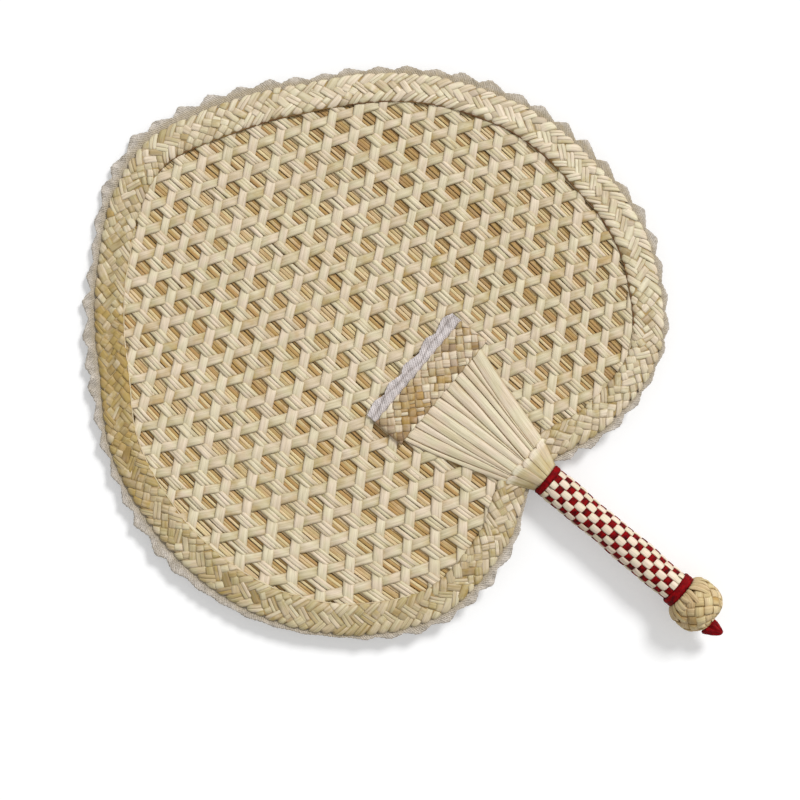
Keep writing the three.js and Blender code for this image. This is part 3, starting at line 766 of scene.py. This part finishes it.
def add_cross(face, name):
    """The short plait across the spread straws' outer ends, and a filling under its cells, painted dark
    brown as shade in the gaps between them.
    """
    piece = Piece(name + "_cross_plait_cells")

    def place(t, n, lift):
        turn = np.clip(1 - t / CROSS_TURN, 0, 1.45)
        other = np.clip(1 - (2 * CROSS_HALF - t) / CROSS_TURN, 0, 1.45)
        x = np.where(turn > 0, CROSS_TURN * (1 - np.sin(turn)), t)
        x = np.where(other > 0, 2 * CROSS_HALF - CROSS_TURN * (1 - np.sin(other)), x) - CROSS_HALF
        under = CROSS_TURN * (2 - np.cos(turn) - np.cos(other))
        edge = 0.4 * ease(1 - n / 1.2) + 0.4 * ease(1 - (CROSS_DEPTH - n) / 1.2)
        y = CROSS_NEAR + n + 1.4 * ease((8 - t) / 16) * (n / CROSS_DEPTH - 1)
        return grid(x, y, face * (CROSS_TOP + lift - edge - under + 0.05 * np.sin(t / 5)))

    def looks(t, n):
        near_left = stain(t, n, 15, 2.5, 10, 4.5)
        spots = (28, 14.5, 7, 3.5), (39, 3.5, 5, 3), (24, 8, 4, 3)
        stained = sum(stain(t, n, *spot) for spot in spots)
        gold = np.clip(drawn(t, 0.1, 0.2) + 0.62 * near_left + 0.55 * stained, 0, 1)
        brown = by_chance(t, 0.11, 0.4) + 0.9 * ease((3.4 - t) / 3) + 0.3 * ease((t - 69.5) / 4)
        brown = brown + (0.4 * near_left + 0.5 * stain(t, n, 62, 8, 5, 4)) * by_chance(t, 0.5)
        return np.clip(drawn(t, 0.56, 0.3), 0, 1), gold, np.clip(brown, 0, 0.9)

    plait(
        piece, place, (-1.1, 75.1), CROSS_DEPTH, 6, 5.9, False, looks,
        tuck=1.22, drop=0.85, thickness=0.5, loose=0.09, crown=0.3, split=0.15,
    )
    # The filling stands for the straws under the cells and is painted dark brown, as shade in the gaps
    t, n = np.meshgrid(np.linspace(-0.4, 74.4, 60), np.linspace(0.3, CROSS_DEPTH - 0.3, 8), indexing="ij")
    upper = place(t, n, -0.8)
    lower = raised(upper[..., :2], face * np.minimum(np.abs(upper[..., 2]) - 0.3, 3.55))
    piece.slab(upper, lower, n, t, 0.1, 0.5, 0.4)
    piece.build(CROSS_STRAW, "cream_palm", name + "_cross_plait")


# Lace, cut to one width

LACE_WIDTH, LACE_INSET, LACE_THICKNESS, LACE_MARGIN = 16.5, 7.4, 0.2, 0.3
SCALLOP_STEPS = 24
CROSS_LACE_LENGTH, CROSS_LACE_LAP, CROSS_LACE_THICKNESS = 74.5, 7, 0.25

# How far the lace reaches past the leaf's edge, between its points and at them, at lengths along the rim
LACE_REACH = [
    (3, 1, 4.8), (48, 2, 5.6), (81, 0.4, 2.3), (103, 0.9, 3.8), (165, 1, 5.2), (183, -0.8, 2.9),
    (218, -1, 3.7), (243, 1.2, 4.9), (273, 2.8, 7), (303, 2, 4.8), (383, 1.3, 4.4), (428, 0.9, 5.3),
    (463, 1.6, 6.2), (495, 3.6, 8.3), (533, 2.4, 5), (563, 1.2, 6), (603, 4.6, 8.2), (648, 0.7, 4.4),
    (688, 3, 7.2), (715, 4.3, 8.3), (743, 4, 5.2), (783, 2.3, 3.4), (818, 0.8, 1.3), (848, 1.8, 4.2),
    (908, 2.8, 7.2), (928, 3.2, 5.5), (948, 1.6, 2.6), (962, 0.6, 0.8),
]


def scallops(t, pitch, valley, peak):
    """How far a row of uneven points reaches at each length, with small loops along its edge."""
    turn = t / pitch
    each = np.clip(np.floor(turn).astype(int), 0, None)
    uneven = np.random.default_rng(5)
    size = uneven.uniform(0.78, 1.12, each.max() + 2)[each]
    tip = uneven.uniform(0.36, 0.68, each.max() + 2)[each]
    share = turn - each
    rise = np.where(share < tip, share / tip, (1 - share) / (1 - tip))
    point = 1.03 - np.sqrt((1 - rise) ** 2 + 0.014)
    return valley + (peak - valley) * size * point + 0.15 * np.sin(TURN * 6 * share)


def declare_cloth(cloth, length, flat, *rests_on):
    """Works out the lace's area, that of its grid of places laid flat."""
    across, along = flat[1:, :-1] - flat[:-1, :-1], flat[:-1, 1:] - flat[:-1, :-1]
    area = float(np.linalg.norm(np.cross(across, along), axis=-1).sum()) * MM * MM


def add_lace_edging():
    """The lace held between the two rim plaits, rippled where it is free."""
    piece = Piece("lace_edging_cloth")
    free_length = RIM_LENGTH - 2 * LACE_MARGIN
    count = round(RIM_LENGTH / 15.5)
    t = np.linspace(0, free_length - 0.01, count * SCALLOP_STEPS + 1)
    reach = scallops(t, free_length / count, *stations(LACE_REACH, t))
    n = LACE_INSET - np.linspace(0, 1, 12) * (LACE_INSET + reach[:, None])
    t, n = np.broadcast_arrays(t[:, None], n)
    free = ease(-n / 4)
    ripple = np.sin(t * 0.81 + 1.3 * np.sin(t / 9)) * 0.55 + np.sin(t * 0.405 + 1) * 0.5
    z = 0.12 + free * ripple + 0.06 * np.sin(t * 2.1) * (n < 2)
    flutter = free * np.sin(t * 1.6 + n) * 0.25
    top = raised(rim(t + LACE_MARGIN + flutter, n), z)
    tan = np.clip(0.7 * ease((n + 3.2) / 3.4) + 0.45 * bump_at(t, 300, 55), 0, 0.8)
    piece.slab(top, top - [0, 0, LACE_THICKNESS], t, n, 0.5, tan)
    cloth = piece.build(RIM_LACE, "lace_cloth", "lace_edging")
    flat = raised(rim(t + LACE_MARGIN, n), 0)
    declare_cloth(cloth, RIM_LENGTH, flat, "front_rim_plait_cells", "back_rim_plait_cells")


def add_cross_lace(face, name):
    """The strip of lace along the cross plait's outer edge, with a crease where it comes off the plait, and
    painted shade just past the crease.
    """
    piece = Piece(name + "_cross_lace_cloth")
    t = np.linspace(0.5, 73.5, 5 * SCALLOP_STEPS + 1)
    reach = scallops(t - 0.5, 73 / 5, 6.4, 9.0)
    n = np.linspace(0, 1, 26) * (CROSS_LACE_LAP + reach[:, None]) - CROSS_LACE_LAP
    t, n = np.broadcast_arrays(t[:, None], n)
    free = ease(n / 3)
    crease = n - 3.6 - 1.0 * np.sin(t / 7) - 0.5 * np.sin(t / 2.9)
    fold = 1.5 * ease((n + 0.8) / 3) * (1 - ease(crease / 1.1)) + 0.6 * ease((crease - 0.6) / 1.6)
    z = 2.75 + fold + free * (0.3 + 0.22 * np.sin(t * 1.15 + n * 0.5) + 0.16 * np.sin(t * 0.43))
    top = grid(CROSS_HALF - t, CROSS_NEAR + CROSS_DEPTH + n, face * z)
    bottom = top - [0, 0, face * CROSS_LACE_THICKNESS]
    # Painted shade: the lace is painted darker in a band just past the crease
    piece.slab(top, bottom, t, n, 0.78 - 0.55 * bump_at(crease, 0.7, 0.55), 0.0)
    cloth = piece.build(CROSS_LACE, "lace_cloth", name + "_cross_lace")
    weave = "front_hexagon_weave" if face > 0 else "back_close_weave"
    declare_cloth(cloth, CROSS_LACE_LENGTH, grid(t, n, 0), weave, name + "_cross_plait_cells")


# Spread straws and neck

# Edges between the spread straws, as shares of the bed's half width: at the neck, at the control point of
# the straws' bend, and at the far end
SPREAD_EDGES = np.array([
    (-1.0, -1.1, -1.04), (-0.84, -1.03, -0.97), (-0.7, -0.78, -0.75), (-0.66, -0.66, -0.6),
    (-0.56, -0.45, -0.44), (-0.27, -0.25, -0.28), (-0.06, -0.04, -0.12), (-0.02, 0.02, 0.08),
    (0.03, 0.3, 0.28), (0.36, 0.5, 0.47), (0.49, 0.62, 0.62), (0.53, 0.66, 0.77), (0.97, 0.98, 0.98),
])
SPREAD_UNDER = (2, 6, 10)
SPREAD_THICKNESS, WRAP_THICKNESS = 0.55, 0.42
WRAP_CUTS, WRAP_OVERLAP = (-1, -0.62, -0.2, 0.16, 0.58, 1), 1.07


def add_spread(face, name):
    """Straws that fan out over the leaf, each a little over the next, and a few tucked under."""
    y = np.linspace(14.6, 79, 30)[:, None]
    half, top = between(y, SPREAD_AT, SPREAD_BED)
    s = np.clip((y - SEAM) / 63, 0, 1)
    near, bend, far = SPREAD_EDGES.T
    edges = (1 - s) ** 2 * near + 2 * s * (1 - s) * bend + s**2 * far
    across = np.linspace(-1, 1, 9)
    for i in range(len(SPREAD_EDGES) - 1):
        piece = Piece(f"{name}_spread_straw_{i + 1:02d}")
        low, high = edges[:, [i]], edges[:, [i + 1]]
        high = high - (high - low) * 0.005
        low = low + (high - low) * rng.choice([-0.01, 0.02, 0.05], p=[0.4, 0.35, 0.25])
        share = (low + high) / 2 + (high - low) / 2 * across
        bow = rng.uniform(0.35, 0.65) * (1 - across**2)
        sway = 0.1 * np.sin(y / 15 + rng.random() * 6) * np.sin(math.pi * np.clip((y - SEAM) / 58, 0, 1))
        sink = 0.75 * ease((16.6 - y) / 1.4) + (0.3 if i in SPREAD_UNDER else 0)
        lean = rng.normal(0.1, 0.12) * across + rng.normal(0, 0.08)
        x = half * share + sway
        z = SPREAD_SIDE + (top - SPREAD_SIDE) * np.clip(1 - share**2, 0, 1) + 0.36 + bow + lean - sink
        upper, lower = grid(x, y, face * z), grid(x, y, face * (z - SPREAD_THICKNESS))
        width = half * (high - low) / 2 * across
        piece.slab(upper, lower, y, width, rng.normal(0.78, 0.12), max(0, rng.normal(0.04, 0.08)))
        piece.build(SPREAD_STRAW, "pale_palm", f"{name}_splay_straw_{i + 1:02d}")


def add_neck_wrap(face, name):
    """Wide straws folded over at their upper ends, each over the edge of the next, with a painted highlight
    on the folded lip and painted shade below it.
    """
    piece = Piece(name + "_neck_wrap_straws")
    across = np.linspace(-1, 1, 10)
    for i, (low, high) in enumerate(zip(WRAP_CUTS, WRAP_CUTS[1:])):
        end = SEAM + rng.uniform(-0.7, 1.0)
        run = np.concatenate([np.linspace(0.25, end - 3, 12), np.linspace(end - 2.6, end, 8)])[:, None]
        half, top = between(run, SPREAD_AT, SPREAD_BED)
        side = np.interp(run, [0, 8.5, SEAM], [0.35, SPREAD_SIDE, SPREAD_SIDE])
        share = np.clip((low + high) / 2 + (high - low) / 2 * WRAP_OVERLAP * across, -1, 1)
        z = side + (top - side) * (1 - share**2) + 0.4 + 0.2 * (i % 2) + 0.75 * ease((run - end + 3.2) / 1.8)
        z = z + 0.3 * (1 - across**2) - 0.9 * ease((run - end + 1.1) / 1.1) ** 2
        x, y = half * share, run - 1.2 * np.abs(across) ** 3 * ease((run - end + 5) / 5)
        upper, lower = grid(x, y, face * z), grid(x, y, face * (z - WRAP_THICKNESS))
        # Painted light: the folded lip is painted paler as a highlight, and the straw below it darker and
        # more golden as shade
        pale = ease((run - end + 5) / 2.8)
        bright = rng.normal(0.3, 0.1) + 0.85 * pale
        piece.slab(upper, lower, y, half * (high - low) / 2 * across, bright, 0.3 * (1 - pale) + 0.02)
    piece.build(SPREAD_STRAW, "pale_palm", name + "_neck_wrap")


# Handle

BINDINGS = (("neck", 0.0, 3.7, 9.5), ("end", -92.8, 5.2, 10.1))
BINDING_WRAPS = 2
GRIP_TOP, GRIP_LENGTH, GRIP_MIDDLE = -4.0, 88.5, 8.62
WARPS, TURNS = 13, 18
WARP_STEP = TURN / WARPS
WARP_THICKNESS, RIBBON_THICKNESS = 0.34, 0.26
RIBBON_WIDTH, RIBBON_MARGIN = 3.95, 0.9
DROP = (GRIP_LENGTH - 2 * RIBBON_MARGIN) / (TURNS * WARPS)
KNOB_TOP, KNOB_LENGTH, KNOB_RADIUS, KNOB_MOUTH, KNOB_POWER = -98.0, 23.2, 15.0, 9.6, 2.5
KNOB_CELLS, KNOB_START, KNOB_STOP = 12, 3.5, 2.2
GATHERED = 26
TIP_LENGTH, TIP_RADIUS, TIP_OFFSET, TIP_TUCK = 8.4, 5.1, -4.9, 0.9
TIP_SHAPE = [0, 0.1, 0.3, 0.55, 0.8, 0.95, 1], [0.86, 1, 0.95, 0.78, 0.55, 0.34, 0.15]


def grip_lump(y, angle):
    """How much the grip swells here: it is wound by hand over a bundle of straws."""
    return 0.1 + 0.28 * np.sin(y / 8.3 + 2 * angle) + 0.18 * np.sin(y / 4.1 - angle + 1)


def squared(wave, hardness):
    """A wave with flatter tops."""
    return np.tanh(hardness * wave) / math.tanh(hardness)


def add_grip_straws():
    """Lengthwise straws. Passed counts the straws that the ribbon has passed, and 14 is just over a turn."""
    y = np.linspace(GRIP_TOP + 0.15, GRIP_TOP - GRIP_LENGTH - 0.15, 240)[:, None]
    passed = (GRIP_TOP - RIBBON_MARGIN - y) / DROP
    held = ease((passed + 14) / 14) * ease((TURNS * WARPS + 14 - passed) / 14)
    across = np.linspace(-1, 1, 7)
    for i in range(WARPS):
        over = squared(np.cos(math.pi * (i + (passed - i) / WARPS)), 1.4) * held - 0.3 * (1 - held)
        half = (1.98 + 0.1 * over + rng.normal(0, 0.05) + 0.06 * np.sin(y / 6 + i)) / GRIP_MIDDLE
        angle = i * WARP_STEP + half * across + 0.012 * np.sin(y / 8 + i * 2)
        radius = GRIP_MIDDLE + 0.38 * over + 0.27 * (1 - across**2) + grip_lump(y, angle)
        upper, lower = around(radius, angle, y), around(radius - WARP_THICKNESS, angle, y)
        piece = Piece(f"grip_warp_{i + 1:02d}")
        width = half * across * GRIP_MIDDLE
        piece.slab(upper, lower, y, width, rng.normal(0.8, 0.1), max(0, rng.normal(0.04, 0.08)))
        piece.build(GRIP_STRAW, "pale_palm", f"grip_straw_{i + 1:02d}")


def add_grip_ribbon():
    """One ribbon wound down the grip, over one straw and under the next."""
    piece = Piece("grip_ribbon_weft")
    passed = np.linspace(0.5, TURNS * WARPS - 0.5, (TURNS * WARPS - 1) * 8 + 1)[:, None]
    share = np.linspace(-1, 1, 6)
    across = share * RIBBON_WIDTH / 2
    y = GRIP_TOP - RIBBON_MARGIN - passed * DROP + across
    angle = passed * WARP_STEP
    radius = GRIP_MIDDLE + 0.36 * squared(-np.cos(math.pi * passed), 1.6)
    radius = radius + 0.1 * (1 - share**2) + grip_lump(y, angle)
    upper, lower = around(radius, angle, y), around(radius - RIBBON_THICKNESS, angle, y)
    piece.slab(upper, lower, angle * GRIP_MIDDLE, across[None], 0.5, 0.0)
    piece.build(RED_RIBBON, "red_ribbon", "grip_ribbon")


def add_binding(name, top, length, radius):
    """Turns of ribbon wound over each other, as one ring with a ridge for each turn."""
    piece = Piece(name + "_binding_wraps")
    share = np.linspace(0, 1, 6 * BINDING_WRAPS + 1)
    edge = 0.55 * (1 - np.sqrt(np.clip(1 - (np.abs(share - 0.5) * 2) ** 6, 0, 1)))
    rings = []
    for a in circle(96):
        ridge = 0.16 * np.abs(np.sin(math.pi * BINDING_WRAPS * share + 0.35 * math.sin(a)))
        crease = 0.07 * math.sin(5 * a + 1) * np.sin(math.pi * share) + 0.05 * math.sin(11 * a)
        y = top - length * share + 0.12 * math.sin(2 * a + 0.5)
        outer = around(radius - 0.2 - edge + ridge + crease, a, y)
        rings.append(np.concatenate([outer, around(radius - 1.3, a, y[[-1, 0]])]))
    piece.loft(np.array(rings), closed=True)
    piece.build(RED_BINDING, "red_ribbon", name + "_binding")


def knob_profile():
    """The knob's outline from its mouth down to its end: the length along it, and radius and height."""
    mouth = (1 - (KNOB_MOUTH / KNOB_RADIUS) ** KNOB_POWER) ** (1 / KNOB_POWER)
    half = KNOB_LENGTH / (1 + mouth)
    angle = np.linspace(math.asin(mouth ** (KNOB_POWER / 2)), -math.pi / 2, 160)
    radius = KNOB_RADIUS * np.cos(angle).clip(0) ** (2 / KNOB_POWER)
    rise = np.sign(angle) * half * np.abs(np.sin(angle)) ** (2 / KNOB_POWER)
    line = grid(radius, KNOB_TOP - KNOB_LENGTH + half + rise)
    return lengths(line), line


KNOB_RUN, KNOB_LINE = knob_profile()


def knob_at(run):
    """Radius and height of the knob's outline at lengths along it."""
    return grid(*between(run, KNOB_RUN, KNOB_LINE.T))


def on_knob(turn, run, lift):
    """Points on the knob at angles and lengths down from its mouth, lifted off its surface."""
    place = knob_at(run)
    slope = knob_at(run + 0.6) - knob_at(run - 0.6)
    slope /= np.linalg.norm(slope, axis=-1)[..., None]
    return around(place[..., 0] - slope[..., 1] * lift, turn, place[..., 1] + slope[..., 0] * lift)


def add_knob():
    """A plaited ball over a filling painted dark as shade between the cells, with straws gathered round its
    mouth.
    """
    piece = Piece("knob_plait_cells")

    def place(t, n, lift):
        lumps = 0.25 * np.sin(3 * t + 1) * np.sin(n / 5) + 0.15 * np.sin(5 * t + n / 4)
        return on_knob(t, KNOB_START + n, np.minimum(lift - 0.26 + lumps, -0.05))

    def looks(t, n):
        brown = by_chance(t, 0.12, 0.3)
        return np.clip(drawn(t, 0.62, 0.17), 0, 1), np.clip(drawn(t, 0.2, 0.16), 0, 1), brown

    width = KNOB_RUN[-1] - KNOB_START - KNOB_STOP
    plait(
        piece, place, (0, TURN), width, 8, TURN / KNOB_CELLS, False, looks, tuck=1.3, drop=1.0, thickness=0.5
    )
    share = np.linspace(-1, 1, 5)
    for i in range(GATHERED):
        turn = (i + rng.normal(0, 0.12)) * TURN / GATHERED
        end = rng.uniform(7.0, 12.5)
        run = np.linspace(0.05, end, 12)[:, None]
        radius = knob_at(run)[..., 0]
        half = np.interp(run, [0, 3, end], [1.15, 1.6, 1.15]) / radius
        angle = turn + rng.normal(0, 0.022) * run + half * share
        lift = 0.25 - 0.9 * ease((run - end + 2.4) / 2.4) + 0.3 * (1 - share**2) - 0.35 * ease(1 - run / 1.2)
        lift = np.minimum(lift, KNOB_RADIUS - 0.1 - radius)
        upper, lower = on_knob(angle, run, lift), on_knob(angle, run, lift - 0.5)
        piece.slab(upper, lower, run, half * share * 12, rng.normal(0.62, 0.1), 0.2)
    piece.build(KNOB_STRAW, "cream_palm", "knob")
    # The filling stands for the straws under the cells and is painted dark golden brown, as shade in the
    # slits
    filling = Piece("knob_filling")
    runs = np.linspace(0.3, KNOB_RUN[-1] - 0.4, 26)
    rings = np.array([on_knob(circle(48), run, -1.35) for run in runs])
    filling.loft(rings, bright=0.3, gold=0.5, brown=0.45)
    filling.build(KNOB_STRAW, "cream_palm")


def add_tip():
    """A scrap of red ribbon, gathered into folds that run to a point."""
    piece = Piece("red_tip_folds")
    turn = circle(72)
    rings = []
    for s in np.linspace(0, 1, 22):
        folds = 1 - 0.16 * (0.5 + 0.5 * np.cos(5 * turn + 2.4 * s)) - 0.06 * np.cos(9 * turn - 3 * s + 1)
        radius = TIP_RADIUS * np.interp(s, *TIP_SHAPE) * folds
        radius = radius * (1 - 0.25 * ease((s - 0.1) / 0.9) * np.cos(turn - 0.6) ** 2)
        y = KNOB_TOP - KNOB_LENGTH + TIP_TUCK - (TIP_LENGTH + TIP_TUCK) * s
        rings.append(around(radius, turn, y) + [TIP_OFFSET + 2.0 * s**1.3, 0, 0])
    piece.loft(np.array(rings))
    piece.build(RED_BINDING, "red_ribbon", "red_tip")


# Making the fan, in an order that the random values depend on

add_ground()
add_front_weave()
add_back_weave()
for face, name in FACES:
    add_rim(face, name)
    add_cross(face, name)
add_lace_edging()
for face, name in FACES:
    add_cross_lace(face, name)
    add_spread(face, name)
    add_neck_wrap(face, name)
add_grip_straws()
add_grip_ribbon()
for binding in BINDINGS:
    add_binding(*binding)
add_knob()
add_tip()
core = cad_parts["handle_core"]
core.data.materials.clear()
core.data.materials.append(CORE_STRAW)


# Camera, light and floor

VIEW_WIDTH, LENS, SENSOR = 0.44, 100.0, 36.0
TARGET = Vector((-0.013, 0.007, 0.015))
CAMERA_TURN = math.radians(50)
SUN_STRENGTH, SUN_SPREAD, SKY_STRENGTH = 2.2, 15, 0.46
FLOOR_HALF, FLOOR_GREY, FLOOR_GLOW = 3.0, 0.74, 0.33

right = Vector((math.cos(CAMERA_TURN), -math.sin(CAMERA_TURN), 0))
up = Vector((math.sin(CAMERA_TURN), math.cos(CAMERA_TURN), 0))


def add_camera():
    """Looks straight down on the leaf, turned so that the handle points to the lower right."""
    camera = linked("camera", bpy.data.cameras.new("camera"))
    camera.data.lens, camera.data.sensor_width = LENS, SENSOR
    camera.data.clip_start, camera.data.clip_end = 0.05, 20
    place = TARGET + Vector((0, 0, VIEW_WIDTH * LENS / SENSOR))
    camera.matrix_world = Matrix.Translation(place) @ Matrix((right, up, (0, 0, 1))).transposed().to_4x4()
    bpy.context.scene.camera = camera


def add_sun():
    """One soft lamp, from the upper right of the picture."""
    lamp = linked("key", bpy.data.lights.new("key", "SUN"))
    lamp.data.energy, lamp.data.angle = SUN_STRENGTH, math.radians(SUN_SPREAD)
    towards = (right * 0.8 + up).normalized() + Vector((0, 0, 1.05))
    lamp.rotation_mode = "QUATERNION"
    lamp.rotation_quaternion = towards.to_track_quat("Z", "Y")


def add_sky():
    """White where the camera, a reflection or clear material shows it, and dimmer as a light."""
    g = Graph(bpy.data.worlds.new("studio"))
    path = g.add("ShaderNodeLightPath").outputs
    seen = g.math("MAXIMUM", path["Is Camera Ray"], path["Is Transmission Ray"])
    seen = g.math("MAXIMUM", seen, path["Is Glossy Ray"])
    light, white = (
        g.add("ShaderNodeBackground", {"Color": (1, 1, 1, 1), "Strength": strength}).outputs[0]
        for strength in (SKY_STRENGTH, 1.0)
    )
    mixed = g.add("ShaderNodeMixShader", {0: seen, 1: light, 2: white}).outputs[0]
    bpy.context.scene.world = g.finish(mixed, "ShaderNodeOutputWorld")


def add_floor():
    """Pale paper. The fan rests on its knob and the far edge of its rim, so it slopes a little."""
    knob_lo, knob_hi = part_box("knob")
    rim_lo, rim_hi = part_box("back_rim_plait")
    knob_y = (knob_lo.y + knob_hi.y) / 2
    rise = (rim_lo.z - 0.6 * MM) / (rim_hi.y - 6 * MM - knob_y)
    square = [(x * FLOOR_HALF, y * FLOOR_HALF) for x, y in ((-1, -1), (1, -1), (1, 1), (-1, 1))]
    mesh = bpy.data.meshes.new("floor")
    mesh.from_pydata([(x, y, (y - knob_y) * rise - 0.3 * MM) for x, y in square], [], [(0, 1, 2, 3)])
    g = Graph(bpy.data.materials.new("floor_paper"))
    paper = g.add("ShaderNodeBsdfDiffuse", {"Color": (FLOOR_GREY, FLOOR_GREY, FLOOR_GREY, 1)}).outputs[0]
    seen = g.math("MULTIPLY", g.add("ShaderNodeLightPath").outputs["Is Camera Ray"], FLOOR_GLOW)
    glow = g.add("ShaderNodeEmission", {"Strength": seen}).outputs[0]
    mesh.materials.append(g.finish(g.add("ShaderNodeAddShader", {0: paper, 1: glow}).outputs[0]))
    linked("floor", mesh)


add_camera()
add_sun()
add_sky()
add_floor()
bpy.context.scene.view_settings.view_transform = "Standard"
